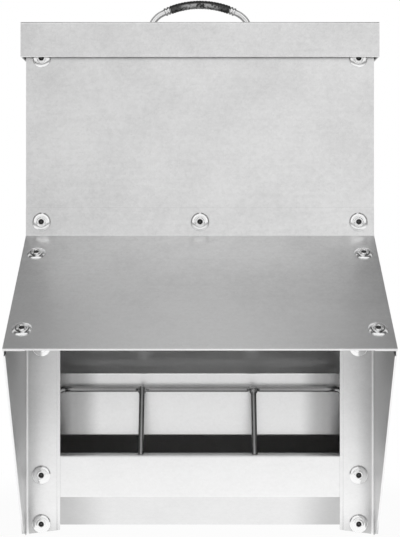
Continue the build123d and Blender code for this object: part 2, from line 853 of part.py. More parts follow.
rivet_row("hinge_lid_rivets", lid_leaf_seats, mini_rivet(leaf_grip, flush_rivet_tail))
rivet_row("saddle_rivets", saddle_seats, mini_rivet(saddle_thickness + sheet, mini_rivet_tail))
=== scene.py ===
# %% [markdown]
# # A galvanised chicken feeder
# The real feeder is folded from thin galvanised sheet and held together by wide-headed blind rivets.
# Its solids come from the CAD model as a fixed frame. Here they get their finishes, the small forms
# that repeat (rivet holes, grip ribs, weld beads), a floor, light and a camera.
# A finish could be painted by hand on unwrapped sheets. It is written as shader maths instead, so that
# it has no seams and stays at the right size wherever a sheet is folded.

# %% Load the frame
import json
from math import asin, cos, pi, sin

import bpy
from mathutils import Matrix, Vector

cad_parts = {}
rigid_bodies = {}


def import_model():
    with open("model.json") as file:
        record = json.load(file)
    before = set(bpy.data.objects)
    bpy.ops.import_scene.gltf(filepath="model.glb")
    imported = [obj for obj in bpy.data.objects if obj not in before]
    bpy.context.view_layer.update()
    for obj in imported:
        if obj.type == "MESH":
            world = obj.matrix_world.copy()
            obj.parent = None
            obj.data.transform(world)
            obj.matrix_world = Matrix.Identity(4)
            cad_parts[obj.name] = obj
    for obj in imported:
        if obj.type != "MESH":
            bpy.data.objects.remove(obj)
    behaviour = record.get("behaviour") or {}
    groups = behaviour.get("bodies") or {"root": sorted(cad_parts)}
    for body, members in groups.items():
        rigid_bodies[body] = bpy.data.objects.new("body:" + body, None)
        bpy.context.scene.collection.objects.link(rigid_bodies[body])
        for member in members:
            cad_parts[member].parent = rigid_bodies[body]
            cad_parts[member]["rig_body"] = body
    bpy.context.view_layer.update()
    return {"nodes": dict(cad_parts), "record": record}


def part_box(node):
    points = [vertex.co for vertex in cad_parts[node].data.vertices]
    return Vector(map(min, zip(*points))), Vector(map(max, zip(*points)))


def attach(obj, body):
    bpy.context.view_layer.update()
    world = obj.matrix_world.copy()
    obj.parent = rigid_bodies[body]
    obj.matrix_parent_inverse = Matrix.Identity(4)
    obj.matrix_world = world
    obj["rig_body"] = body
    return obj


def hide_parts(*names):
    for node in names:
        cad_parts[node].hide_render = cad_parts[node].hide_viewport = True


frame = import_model()
MM = 0.001

# %% [markdown]
# ## Camera
# The photograph is taken square on to the front, with the lens a little above the middle of the
# feeder. A camera that is tilted would make the sides converge. So it stays level, and the picture is
# moved down by a small lens shift, as an architect's camera does it.

# %% Camera
photo_height = 537
horizon_row = 238.0
camera_height = 0.255
camera_distance = 1.025
sensor_mm, lens_mm = 36.0, 79.7
panel_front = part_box("front_panel")[0].y

camera_data = bpy.data.cameras.new("camera")
camera_data.sensor_fit = "VERTICAL"
camera_data.sensor_height = sensor_mm
camera_data.lens = lens_mm
camera_data.shift_y = -(photo_height / 2 - horizon_row) / photo_height
camera = bpy.data.objects.new("camera", camera_data)
camera.location = (0, panel_front - camera_distance, camera_height)
camera.rotation_euler = (pi / 2, 0, 0)
bpy.context.scene.collection.objects.link(camera)
bpy.context.scene.camera = camera
print("camera", tuple(camera.location), "shift", round(camera_data.shift_y, 4))

# %% [markdown]
# ## Shader maths
# Shaders are graphs of nodes, and long graphs are slow to read as lists of links. A small class can
# wrap a socket, so that `1 - mask * 0.5` adds the Math nodes by itself. Numbers alone are still worked
# out in Python. Colours and vectors go through Vector Math, because a Math node turns a colour grey.


# %% A socket with operators
class Value:
    """The output of a node. Sums and products of it add their own nodes."""

    def __init__(self, graph, socket):
        self.graph, self.socket = graph, socket

    def _math(self, operation, *operands):
        many = any(isinstance(o, Value) and o.socket.type in {"RGBA", "VECTOR"} for o in operands)
        if not many:
            return self.graph.node("ShaderNodeMath", {"operation": operation}, *operands)
        spread = [(o, o, o) if isinstance(o, (int, float)) else o for o in operands]
        return self.graph.node("ShaderNodeVectorMath", {"operation": operation}, *spread)

    def __add__(self, other):
        return self._math("ADD", self, other)

    def __mul__(self, other):
        return self._math("MULTIPLY", self, other)

    def __sub__(self, other):
        return self._math("SUBTRACT", self, other)

    def __rsub__(self, other):
        return self._math("SUBTRACT", other, self)

    def __truediv__(self, other):
        return self._math("DIVIDE", self, other)

    def __pow__(self, other):
        return self._math("POWER", self, other)

    __radd__, __rmul__ = __add__, __mul__


# %% A graph that grows by expressions
class Graph:
    """A node tree of any kind: a material, a world or Geometry Nodes."""

    def __init__(self, tree):
        self.tree = tree

    def node(self, kind, settings, *values, out=None, **named):
        """Any node: its settings first, then the values or links of its sockets."""
        made = self.tree.nodes.new(kind)
        for key, value in settings.items():
            if key == "stops":
                self._stops(made.color_ramp, value)
            else:
                setattr(made, key, value)
        for key, value in [*enumerate(values), *named.items()]:
            if value is None:
                continue
            target = made.inputs[key if isinstance(key, int) else key.replace("_", " ")]
            if isinstance(value, Value):
                self.tree.links.new(value.socket, target)
            else:
                target.default_value = value
        shown = [o for o in made.outputs if o.enabled]
        return Value(self, made.outputs[out] if out else shown[0])

    def _stops(self, ramp, stops):
        while len(ramp.elements) < len(stops):
            ramp.elements.new(1.0)
        for element, (position, shade) in zip(ramp.elements, stops):
            element.position = position
            element.color = (shade, shade, shade, 1)

    def ramp(self, value, *stops):
        """Greys along a line of stops."""
        return self.node("ShaderNodeValToRGB", {"stops": stops}, value)

    def maths(self, operation, value):
        """A Math node that takes one value, such as its square root."""
        return self.node("ShaderNodeMath", {"operation": operation}, value)

    def axes(self, vector):
        """The X, Y and Z of a vector."""
        split = self.node("ShaderNodeSeparateXYZ", {}, vector).socket.node
        return [Value(self, split.outputs[axis]) for axis in "XYZ"]

    def step(self, value, low, high, start=0.0, end=1.0):
        """A smooth step from start at low to end at high."""
        settings = {"interpolation_type": "SMOOTHSTEP"}
        return self.node("ShaderNodeMapRange", settings, value, low, high, start, end)

    def fade(self, value, low, high):
        """A smooth step from 1 at low to 0 at high."""
        return self.step(value, low, high, 1.0, 0.0)


# %% A finish made of such a graph
class Finish(Graph):
    """A material whose nodes are added by expressions."""

    def __init__(self, name, metallic=1.0):
        self.material = bpy.data.materials.new(name)
        self.material.use_nodes = True
        super().__init__(self.material.node_tree)
        self.shader = self.tree.nodes["Principled BSDF"]
        self.shader.inputs["Metallic"].default_value = metallic
        self.place = self.node("ShaderNodeTexCoord", {}, out="Object")

    def noise(self, size_mm, detail=3.0, stretch=(1, 1, 1), rough=0.5):
        """Soft random values whose patches are about this size."""
        scaled = self.node("ShaderNodeMapping", {}, self.place, Scale=stretch)
        return self.node(
            "ShaderNodeTexNoise", {}, scaled, Scale=1 / (size_mm * MM), Detail=detail, Roughness=rough
        )

    def mix(self, factor, first, second):
        """A colour between two colours."""
        made = self.tree.nodes.new("ShaderNodeMix")
        made.data_type = "RGBA"
        colour_sockets = (0, 6, 7)
        for index, value in zip(colour_sockets, (factor, first, second)):
            if isinstance(value, Value):
                self.tree.links.new(value.socket, made.inputs[index])
            else:
                made.inputs[index].default_value = value
        return Value(self, made.outputs[2])

    def feed(self, name, value):
        """Sets a shader input, by a link or as a constant."""
        if isinstance(value, Value):
            self.tree.links.new(value.socket, self.shader.inputs[name])
        else:
            self.shader.inputs[name].default_value = value

    def bump(self, height, depth_mm, strength=1.0):
        """Fine unevenness that is too small to model."""
        made = self.node("ShaderNodeBump", {}, strength, Distance=depth_mm * MM, Height=height)
        self.feed("Normal", made)


def grey(level, warm=0.0):
    """A grey as it looks on screen, 0 to 255, made linear."""
    linear = ((level / 255 + 0.055) / 1.055) ** 2.4
    return (linear * (1 + warm), linear, linear * (1 - warm), 1)


print("mid grey", [round(c, 3) for c in grey(128)])

# %% [markdown]
# ## Galvanised sheet
# Hot-dipped zinc freezes in fine crystals, so a new sheet is satin, with a mottle about a millimetre
# across and cloudy patches of a hand's width. Rolling leaves faint lines along the sheet. A picture of
# zinc could be tiled over it, but tiles repeat. Here a cell pattern gives the crystals, wide noise the
# clouds, and stretched noise the rolling. The clouds also change how sharply the metal reflects. In the
# photo the mottle is calmer under the hood than above it, so it fades with height.

# %% The sheet's pattern
sheet = Finish("galvanised_sheet")
crystals = sheet.node(
    "ShaderNodeTexVoronoi", {"feature": "F1"}, sheet.place, Scale=1 / (1.8 * MM), out="Color"
)
crystal_tone = sheet.node("ShaderNodeSeparateColor", {}, crystals)
speckle = sheet.noise(0.9, detail=2.0)
patches = sheet.noise(5.0, detail=3.0, rough=0.6)
clouds = sheet.noise(60, detail=4.0, rough=0.55)
streaks = sheet.noise(2.4, detail=2.0, stretch=(0.05, 1, 1))
mottle = (crystal_tone - 0.5) * 0.22 + (speckle - 0.5) * 0.5 + (streaks - 0.5) * 0.25
uneven = sheet.step(clouds, 0.3, 0.7, -0.5, 0.5) * 0.3 + (patches - 0.5) * 0.45 + mottle * 0.8
x, y, z = sheet.axes(sheet.place)
calm_below, lively_above = 0.15, 0.25
contrast = sheet.step(z, calm_below, lively_above, 0.45, 1.0)
# Painted light: below the hood the base colour is painted paler than above it, which lifts the sheet's
# tone there.
painted_paleness_below_hood = sheet.step(z, calm_below, lively_above, 0.88, 0.72)
sheet_colour = sheet.mix(uneven * contrast + painted_paleness_below_hood, grey(216), grey(255))
print("pattern nodes:", len(sheet.tree.nodes))

# %% [markdown]
# ## Shade by place
# Under the hood the photographed sheet is darker than this studio makes it: on the cheeks' inner faces,
# at the ends of the toe and of the baffle, and a little on the slope. In the photo that is shadow and
# reflection. A finish should leave those to the light, and more dark walls could be built for the sheet
# to reflect. This is a shortcut: the base colour is darkened by place, to match the photo. It
# stays on the sheet under any other light, so outside the corners it keeps to about 0.6 of the open
# sheet or more. It never reads the camera. It can be taken out by feeding the colour without it.
# The masks are products of smooth steps along the axes, and of the side that a face looks to.

# %% Masks for the sheltered faces
half_width = sheet.maths("ABSOLUTE", x)
normal_x, normal_y, normal_z = sheet.axes(sheet.node("ShaderNodeTexCoord", {}, out="Normal"))
faces_down = sheet.fade(normal_z, -0.6, -0.5)
before_panel = sheet.fade(y, panel_front - 4 * MM, panel_front - 2.5 * MM)
cheek_inside = sheet.fade(x * normal_x, -0.13, -0.09) * before_panel
slope_foot, slope_top, toe_top = 0.1275, 0.180, 0.032
slope = faces_down * sheet.step(z, slope_foot - 2.5 * MM, slope_foot + 2.5 * MM)
slope = slope * sheet.fade(z, slope_top - 2 * MM, slope_top + 2 * MM)
toe = faces_down * sheet.fade(z, toe_top - 1 * MM, toe_top + 1 * MM)
toe = toe * sheet.step(y, panel_front + 0.2 * MM, panel_front + 0.8 * MM) * sheet.fade(y, -0.02, -0.019)
baffle_plane = panel_front + 45 * MM
baffle = sheet.step(y, baffle_plane - 0.6 * MM, baffle_plane - 0.4 * MM)
baffle = baffle * sheet.fade(y, baffle_plane + 0.4 * MM, baffle_plane + 0.6 * MM)
baffle = baffle * sheet.fade(normal_y, -0.8, -0.6)
bend = sheet.step(half_width, 0.1470, 0.1476)
bend = bend * sheet.step(y, panel_front - 3 * MM, panel_front - 2.4 * MM)
bend = bend * sheet.fade(y, panel_front - 0.4 * MM, panel_front - 0.2 * MM)
print("with masks:", len(sheet.tree.nodes))

# %% [markdown]
# Corners get painted shade: Ambient Occlusion, which measures how closed in a point is, darkens the
# base colour there. It would also draw a halo on the baffle behind the wires, so there painted shade by
# place takes over, as on the toe. The legs' outer bends are kept out of the painted corner shade. The
# cheeks' inner faces are rougher too, which blurs what they reflect, and takes up part of the shade
# that would otherwise have to be painted.

# %% Shade and finish of the sheet
# Painted shade: the cheeks' inner faces are darkened, most towards their top, and the slope a little.
cheek_shade = sheet.step(z, 0.02, 0.12, 0.10, 0.42)
slope_shade, baffle_shade, cheek_roughness = 0.10, 0.40, 0.22
painted_cheek_and_slope_shade = 1 - cheek_inside * cheek_shade - slope * slope_shade
# Painted shade in corners: the base colour is darkened where Ambient Occlusion finds a point closed in,
# and the legs' outer bends are kept out of it.
openness = sheet.node("ShaderNodeAmbientOcclusion", {"samples": 8}, Distance=34 * MM, out="AO")
painted_shade = sheet.step(openness, 0.15, 0.75, 0.5, 1.0)
painted_shade = painted_shade + (1 - painted_shade) * bend
# Painted shade on the toe, darkest towards its ends.
painted_toe_shade = sheet.step(half_width, 0.075, 0.122, 0.88, 0.58)
painted_shade = painted_shade + (painted_toe_shade - painted_shade) * toe
# Painted shade at the baffle's ends, which replaces the corner shade on the baffle.
baffle_ends = sheet.step(half_width, 0.088, 0.107) * sheet.fade(half_width, 0.110, 0.123)
painted_shade = painted_shade + (1 - baffle_ends * baffle_shade - painted_shade) * baffle
sheet.feed("Base Color", sheet_colour * painted_shade * painted_cheek_and_slope_shade)
sheet.feed("Roughness", sheet.step(clouds, 0.25, 0.75, 0.282, 0.32) + cheek_inside * cheek_roughness)
sheet.bump(speckle * 0.6 + crystal_tone * 0.4, 0.03, strength=0.12)
print("sheet nodes:", len(sheet.tree.nodes))

# %% [markdown]
# ## Wire, hinges and rod
# The grille is drawn wire with a thin, smooth plate, and looks much darker than the sheet. Hinges
# and saddles are small stampings with a satin plate. The handle's rod is polished and chromed, so it
# is nearly a mirror. A bright line could be painted along the wires, where the photo has one, but a
# line like that moves with the light. So each metal has only its own grey and its own roughness.

# %% Wire, hardware and rod
wire = Finish("zinc_wire")
drawn = wire.noise(1.2, detail=2.0)
wire_clouds = wire.noise(22, detail=3.0)
wire_tone = wire_clouds * 0.6 + drawn * 0.4
wire.feed("Base Color", wire.mix(wire_tone, grey(128), grey(168)))
wire.feed("Roughness", wire.step(drawn, 0.3, 0.7, 0.10, 0.16))
wire.bump(drawn, 0.02, strength=0.15)

hardware = Finish("zinc_hardware")
plate = hardware.noise(6, detail=4.0)
grain = hardware.noise(0.5, detail=2.0)
hardware.feed("Base Color", hardware.mix(plate, grey(190, 0.01), grey(226, 0.01)))
hardware.feed("Roughness", hardware.step(plate, 0.3, 0.7, 0.29, 0.40))
hardware.bump(grain, 0.02, strength=0.4)

rod = Finish("chromed_rod")
haze = rod.noise(9, detail=4.0)
rod.feed("Base Color", rod.mix(haze, grey(240), grey(250)))
rod.feed("Roughness", rod.step(haze, 0.35, 0.75, 0.03, 0.07))

# %% [markdown]
# ## Rivets
# A blind rivet is aluminium with a steel mandrel. When it is set, the mandrel snaps inside the head's
# hole and leaves a dark, rough end. The head stays bright. One metal for both would lose the dark spot
# that makes a blind rivet look like one, so they are two finishes.

# %% Rivet finishes
rivet = Finish("rivet")
nicks = rivet.noise(1.1, detail=4.0)
rivet.feed("Base Color", rivet.mix(nicks, grey(248), grey(255)))
rivet.feed("Roughness", rivet.step(nicks, 0.3, 0.7, 0.14, 0.22))
rivet.bump(nicks, 0.03, strength=0.4)

mandrel = Finish("broken_mandrel")
break_grain = mandrel.noise(0.35, detail=4.0)
mandrel.feed("Base Color", mandrel.mix(break_grain, grey(58), grey(120)))
mandrel.feed("Roughness", mandrel.step(break_grain, 0.3, 0.7, 0.35, 0.65))
mandrel.bump(break_grain, 0.15, strength=0.8)

# %% [markdown]
# ## Grip
# The sleeve on the handle is glossy black. Its lower half is painted with silver streaks, a painted
# highlight that stands for light caught from below, and it is made partly metallic there. Noise gives
# the streaks and is multiplied by masks: below the sleeve's middle line, and strongest at half its
# length.

# %% Grip finish
grip_low, grip_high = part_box("handle_grip")
crown_radius, grip_radius = 80 * MM, 4.15 * MM
centre_height = grip_high.z - grip_radius - crown_radius

grip = Finish("grip", metallic=0.0)
skin = grip.noise(0.6, detail=3.0)
streak_noise = grip.noise(2.4, detail=2.0)
across, _, height = grip.axes(grip.place)
above = height - centre_height
from_centre = grip.maths("SQRT", across * across + above * above) - crown_radius
below = grip.fade(from_centre, -0.2 * MM, 1.4 * MM)
middle = grip.fade(across * across, 0.012 ** 2, 0.021 ** 2)
# Painted highlight: silver streaks on the sleeve's lower half, strongest at half its length.
painted_underside_highlight = grip.step(streak_noise, 0.36, 0.56) * below * (middle * 0.85 + 0.15)
grip.feed("Base Color", grip.mix(painted_underside_highlight, grey(36), grey(190)))
grip.feed("Metallic", painted_underside_highlight * 0.6)
grip.feed("Roughness", grip.step(streak_noise, 0.3, 0.7, 0.16, 0.30))
grip.bump(skin, 0.03, strength=0.2)

# %% Every CAD node takes its finish
finishes = {
    "galvanised_sheet": sheet,
    "zinc_wire": wire,
    "zinc_hardware": hardware,
    "chromed_rod": rod,
    "rivet": rivet,
    "grip": grip,
}
slots = {part["node"]: part["material_slot"] for part in frame["record"]["subparts"]}
for name, node in frame["nodes"].items():
    node.data.materials.clear()
    node.data.materials.append(finishes[slots[name]].material)
print("finished nodes:", len(slots))

# %% [markdown]
# ## Set rivets
# The CAD rivets have the right places and sizes, but a plain hole. On the real ones the tool's nose
# presses a ring round the hole, and the broken mandrel stands dark in it. One outline, spun round
# and set at every seat, gives them all. The seats are read from the CAD nodes: a rivet's rim is its
# widest circle, and its head points away from the end that reaches further from the rim.

# %% Find the rivets' seats in a CAD node
import bmesh
import numpy as np


def islands(node_name):
    """The loose solids of a CAD node, each as an array of points."""
    work = bmesh.new()
    work.from_mesh(frame["nodes"][node_name].data)
    bmesh.ops.remove_doubles(work, verts=work.verts, dist=0.001 * MM)
    left, found = set(work.verts), []
    while left:
        reach = [left.pop()]
        for vert in reach:
            for edge in vert.link_edges:
                other = edge.other_vert(vert)
                if other in left:
                    left.remove(other)
                    reach.append(other)
        found.append(np.array([tuple(v.co) for v in reach]))
    work.free()
    return sorted(found, key=lambda points: tuple(points.mean(0).round(4)))


def seat_of(points):
    """Where one rivet sits and how it is turned, from the widest circle that its points lie on."""
    middle = points.mean(0)
    _, _, own_axes = np.linalg.svd(points - middle)
    best = 0
    for axis in [*np.identity(3), *own_axes]:
        along = (points - middle) @ axis
        away = np.linalg.norm(points - middle - np.outer(along, axis), axis=1)
        rim = away > away.max() - 0.05 * MM
        if rim.sum() > best:
            best = rim.sum()
            head_up = along.max() - along[rim].max() < along[rim].min() - along.min()
            facing = axis if head_up else -axis
            along = along if head_up else -along
            front = along[rim].min()
            behind = along < front - 0.3 * MM
            bulb = away[behind].max()
            back = along[behind & (away > bulb - 0.05 * MM)].max()
            seat = {
                "facing": Vector(facing),
                "front": Vector(middle + facing * front),
                "back": Vector(middle + facing * back),
                "bulb": round(float(bulb) / MM, 1),
                "tail": round(float(back - along.min()) / MM, 1),
            }
    return seat


rivet_nodes = sorted(n for n in frame["nodes"] if slots[n] == "rivet")
seats = {name: [seat_of(points) for points in islands(name)] for name in rivet_nodes}
for name in rivet_nodes:
    first = seats[name][0]
    print(name, len(seats[name]), [round(v, 2) for v in first["facing"]], first["bulb"], first["tail"])

# %% [markdown]
# The tree spins an outline round an axis, scales it to the size of the head, and sets a copy on every
# seat. The outline is drawn once in parts of the head's radius and height, so that wide and plain
# rivets share it. Its copies could be real objects, but then each would need its own place.


# %% A Geometry Nodes tree that spins an outline and sets copies
class Grower(Graph):
    """A Geometry Nodes tree with named inputs."""

    def __init__(self, name, **sizes):
        super().__init__(bpy.data.node_groups.new(name, "GeometryNodeTree"))
        face = self.tree.interface
        face.new_socket("Geometry", in_out="OUTPUT", socket_type="NodeSocketGeometry")
        face.new_socket("Geometry", in_out="INPUT", socket_type="NodeSocketGeometry")
        for key, kind in sizes.items():
            face.new_socket(key.replace("_", " "), in_out="INPUT", socket_type="NodeSocket" + kind)
        self.inlet = self.tree.nodes.new("NodeGroupInput")

    def __getitem__(self, name):
        return Value(self, self.inlet.outputs[name])

    def close(self, geometry, material):
        """Ends the tree: copies made real, material set."""
        real = self.node("GeometryNodeRealizeInstances", {}, geometry)
        done = self.node("GeometryNodeSetMaterial", {}, real, Material=material)
        outlet = self.tree.nodes.new("NodeGroupOutput")
        self.tree.links.new(done.socket, outlet.inputs[0])


def grown(tree, name, start_mesh, **sizes):
    """A plain mesh object, grown by the tree from a start mesh."""
    seed = bpy.data.objects.new(name + "_seed", start_mesh)
    bpy.context.scene.collection.objects.link(seed)
    modifier = seed.modifiers.new("grow", "NODES")
    modifier.node_group = tree
    ids = {i.name: i.identifier for i in tree.interface.items_tree if i.in_out == "INPUT"}
    for key, value in sizes.items():
        modifier[ids[key.replace("_", " ")]] = value
    bpy.context.view_layer.update()
    evaluated = seed.evaluated_get(bpy.context.evaluated_depsgraph_get())
    mesh = bpy.data.meshes.new_from_object(evaluated)
    bpy.data.objects.remove(seed)
    mesh.name = name
    material = next(m for m in mesh.materials if m)
    mesh.materials.clear()
    mesh.materials.append(material)
    mesh.polygons.foreach_set("material_index", [0] * len(mesh.polygons))
    made = bpy.data.objects.new(name, mesh)
    bpy.context.scene.collection.objects.link(made)
    return made


spinner = Grower(
    "spun_copies",
    Outline="Object",
    Across="Float",
    Along="Float",
    Sides="Int",
    Finish="Material",
)
outline = spinner.node("GeometryNodeObjectInfo", {}, spinner["Outline"], out="Geometry")
profile = spinner.node("GeometryNodeMeshToCurve", {}, outline)
path = spinner.node("GeometryNodeCurvePrimitiveCircle", {}, spinner["Sides"], Radius=1.0)
spun = spinner.node("GeometryNodeCurveToMesh", {}, path, profile)
closed = spinner.node("GeometryNodeMergeByDistance", {}, spun, Distance=0.0001)
scale = spinner.node(
    "ShaderNodeCombineXYZ", {}, spinner["Across"], spinner["Across"], spinner["Along"]
)
sized = spinner.node("GeometryNodeTransform", {}, closed, Scale=scale)
turn = spinner.node("GeometryNodeInputNamedAttribute", {"data_type": "FLOAT_VECTOR"}, "turn")
copies = spinner.node(
    "GeometryNodeInstanceOnPoints", {}, spinner["Geometry"], Instance=sized, Rotation=turn
)
spinner.close(copies, spinner["Finish"])
print("spinner nodes:", len(spinner.tree.nodes))


# %% Outlines and seats as start meshes
def outline_object(name, points):
    """A line of edges: x is the distance from the axis less 1, and y is the height, downwards."""
    mesh = bpy.data.meshes.new(name)
    steps = [(i, i + 1) for i in range(len(points) - 1)]
    mesh.from_pydata([(r - 1, -h, 0) for r, h in points], steps, [])
    return bpy.data.objects.new(name, mesh)


def seat_mesh(name, places, side):
    """Points with the turn that a copy takes there, on the sheet's front or back."""
    mesh = bpy.data.meshes.new(name)
    mesh.from_pydata([place[side] for place in places], [], [])
    turns = mesh.attributes.new("turn", "FLOAT_VECTOR", "POINT")
    for item, place in zip(turns.data, places):
        item.vector = place["facing"].to_track_quat("Z", "Y").to_euler()
    return mesh


def joined(name, pieces):
    """One mesh object of several, with their materials."""
    work, materials = bmesh.new(), []
    for piece in pieces:
        first = len(work.faces)
        work.from_mesh(piece.data)
        work.faces.ensure_lookup_table()
        material = piece.data.materials[0]
        if material not in materials:
            materials.append(material)
        for face in work.faces[first:]:
            face.material_index = materials.index(material)
        bpy.data.objects.remove(piece)
    mesh = bpy.data.meshes.new(name)
    bmesh.ops.recalc_face_normals(work, faces=work.faces)
    work.to_mesh(mesh)
    work.free()
    for material in materials:
        mesh.materials.append(material)
    made = bpy.data.objects.new(name, mesh)
    bpy.context.scene.collection.objects.link(made)
    return made


head_outline = outline_object(
    "rivet_head_outline",
    [(0, 0), (1, 0), (1, 0.22), (0.97, 0.36), (0.86, 0.66), (0.72, 0.88), (0.58, 1.0), (0.5, 0.98),
     (0.46, 1.16), (0.4, 1.28), (0.33, 1.26), (0.27, 1.1), (0.255, 0.2), (0, 0.2)],
)
mandrel_outline = outline_object(
    "mandrel_outline",
    [(0, 0.16), (0.252, 0.16), (0.252, 1.04), (0.24, 1.04), (0.235, 0.3), (0.17, 0.3), (0.17, 0.62),
     (0.11, 0.8), (0, 0.72)],
)
tail_outline = outline_object(
    "tail_outline",
    [(0, 0.02), (0.94, 0.02), (1, -0.05), (0.98, -0.2), (0.88, -0.45), (0.72, -0.72), (0.68, -1),
     (0, -1)],
)
head_sizes = {"wide": (8.0, 2.0), "plain": (4.75, 1.2), "mini": (3.2, 0.9)}
rivet_sides = 32
wide_rows = {"front_panel_rivets", "hood_flange_rivets", "hood_centre_rivet", "hood_roof_rivets",
             "left_leg_rivets", "right_leg_rivets", "trough_front_rivets"}
mini_rows = {"hinge_body_rivets", "hinge_lid_rivets", "saddle_rivets"}


def spun(name, outline_shape, places, side, across, along, finish):
    """Copies of a spun outline on the seats."""
    return grown(
        spinner.tree, name, seat_mesh(name, places, side), Outline=outline_shape,
        Across=across * MM, Along=along * MM, Sides=rivet_sides, Finish=finish.material,
    )


for body in ("feeder_body", "lid"):
    rows = [n for n in rivet_nodes if frame["nodes"][n]["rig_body"] == body]
    parts = []
    for row in rows:
        kind = "wide" if row in wide_rows else "mini" if row in mini_rows else "plain"
        across, along = head_sizes[kind]
        places, bulb, tail = seats[row], seats[row][0]["bulb"], seats[row][0]["tail"]
        parts += [
            spun(row + "_heads", head_outline, places, "front", across, along, rivet),
            spun(row + "_mandrels", mandrel_outline, places, "front", across, along, mandrel),
            spun(row + "_tails", tail_outline, places, "back", bulb, tail, rivet),
        ]
    set_rivets = joined(body + "_set_rivets", parts)
    set_rivets.data.shade_smooth()
    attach(set_rivets, body)
    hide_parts(*rows)
    print(set_rivets.name, len(rows), "rows,", len(set_rivets.data.polygons), "faces")

# %% [markdown]
# ## Grip ribs
# The sleeve on the handle is moulded in soft rings, which break its highlights into spots. A tree
# sweeps a circle along the crown of the handle and lets the radius swell and shrink as it goes. The
# number of rings, their depth and the lumps are inputs, so another handle only needs other numbers.

# %% A tree that sweeps a ringed sleeve
sleeve = Grower(
    "ringed_sleeve", Radius="Float", Rings="Float", Depth="Float", Lumps="Float", Finish="Material"
)
crown = sleeve.node("GeometryNodeMeshToCurve", {}, sleeve["Geometry"])
along = sleeve.node("GeometryNodeSplineParameter", {}, out="Factor")
wave = sleeve.maths("COSINE", along * sleeve["Rings"] * (2 * pi))
ends = sleeve.step(along, 0.0, 0.02, 0.90, 1.0) * sleeve.step(along, 0.98, 1.0, 1.0, 0.90)
swell = (sleeve["Radius"] - (wave * 0.5 + 0.5) * sleeve["Depth"]) * ends
round_profile = sleeve.node("GeometryNodeCurvePrimitiveCircle", {}, 40, Radius=1.0)
tube = sleeve.node("GeometryNodeCurveToMesh", {}, crown, round_profile, Scale=swell, Fill_Caps=True)
lumps = sleeve.node(
    "ShaderNodeTexNoise", {}, sleeve.node("GeometryNodeInputPosition", {}), Scale=420.0, Detail=2.0
)
outwards = sleeve.node("GeometryNodeInputNormal", {})
dent = sleeve.node(
    "ShaderNodeVectorMath", {"operation": "SCALE"}, outwards, Scale=(lumps - 0.95) * sleeve["Lumps"]
)
dented = sleeve.node("GeometryNodeSetPosition", {}, tube, Offset=dent)
smooth = sleeve.node("GeometryNodeSetShadeSmooth", {}, dented)
sleeve.close(smooth, sleeve["Finish"])

# %% Sweep it along the CAD grip
half_angle = asin((grip_high.x - grip_low.x) / 2 / (crown_radius + grip_radius))
crown_steps = 420
crown_y = (grip_low.y + grip_high.y) / 2
crown_points = []
for step in range(crown_steps + 1):
    angle = half_angle * (2 * step / crown_steps - 1)
    crown_points.append((crown_radius * sin(angle), crown_y, centre_height + crown_radius * cos(angle)))
crown_line = bpy.data.meshes.new("crown_line")
crown_line.from_pydata(crown_points, [(i, i + 1) for i in range(crown_steps)], [])
ringed_grip = grown(
    sleeve.tree, "ringed_grip", crown_line, Radius=grip_radius, Rings=21.0, Depth=0.20 * MM,
    Lumps=0.35 * MM, Finish=grip.material,
)
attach(ringed_grip, "handle")
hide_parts("handle_grip")
print(ringed_grip.name, len(ringed_grip.data.polygons), "faces")

# %% [markdown]
# ## Weld beads
# The two upright wires are welded to the rail, and each weld leaves a small swollen bead. Blended
# balls make one: a volume is filled round a few points and skinned again, which melts them together.

# %% A tree that melts balls into a bead
welder = Grower("weld_beads", Voxel="Float", Finish="Material")
sizes_of = welder.node("GeometryNodeInputNamedAttribute", {"data_type": "FLOAT"}, "size")
blob = welder.node("GeometryNodePointsToVolume", {"resolution_mode": "VOXEL_SIZE"}, welder["Geometry"])
blob_node = blob.socket.node
welder.tree.links.new(welder["Voxel"].socket, blob_node.inputs["Voxel Size"])
welder.tree.links.new(sizes_of.socket, blob_node.inputs["Radius"])
skin = welder.node("GeometryNodeVolumeToMesh", {"resolution_mode": "GRID"}, blob, Threshold=0.1)
ripple = welder.node(
    "ShaderNodeTexNoise", {}, welder.node("GeometryNodeInputPosition", {}), Scale=500.0, Detail=2.0
)
ripple_depth = 0.6 * MM
push = welder.node(
    "ShaderNodeVectorMath", {"operation": "SCALE"}, welder.node("GeometryNodeInputNormal", {}),
    Scale=(ripple - 0.5) * ripple_depth,
)
rippled = welder.node("GeometryNodeSetPosition", {}, skin, Offset=push)
welder.close(welder.node("GeometryNodeSetShadeSmooth", {}, rippled), welder["Finish"])

# %% Beads where the uprights meet the rail
rail_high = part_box("grille_frame")[1]
wire_radius = 2.5 * MM
rail_y, rail_z = rail_high.y - wire_radius, rail_high.z - wire_radius
bead_points, bead_sizes = [], []
for name, lug in (("left_grille_divider", 2.4), ("right_grille_divider", 4.0)):
    low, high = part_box(name)
    wire_x = (low.x + high.x) / 2
    balls = [(0, -4.9, -0.4, lug)]
    for hand in (-1, 1):
        balls += [
            (hand * 2.4, -2.9, -0.4, 2.3), (hand * 4.2, -2.0, -0.2, 1.6), (hand * 1.6, -3.6, -2.4, 1.6)
        ]
    for sideward, forward, rise, size in balls:
        bead_points.append((wire_x + sideward * MM, rail_y + forward * MM, rail_z + rise * MM))
        bead_sizes.append(size * MM)
bead_line = bpy.data.meshes.new("bead_points")
bead_line.from_pydata(bead_points, [], [])
size_data = bead_line.attributes.new("size", "FLOAT", "POINT")
size_data.data.foreach_set("value", bead_sizes)
weld_beads = grown(welder.tree, "weld_beads", bead_line, Voxel=0.25 * MM, Finish=wire.material)
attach(weld_beads, "feeder_body")
print(weld_beads.name, len(weld_beads.data.polygons), "faces")

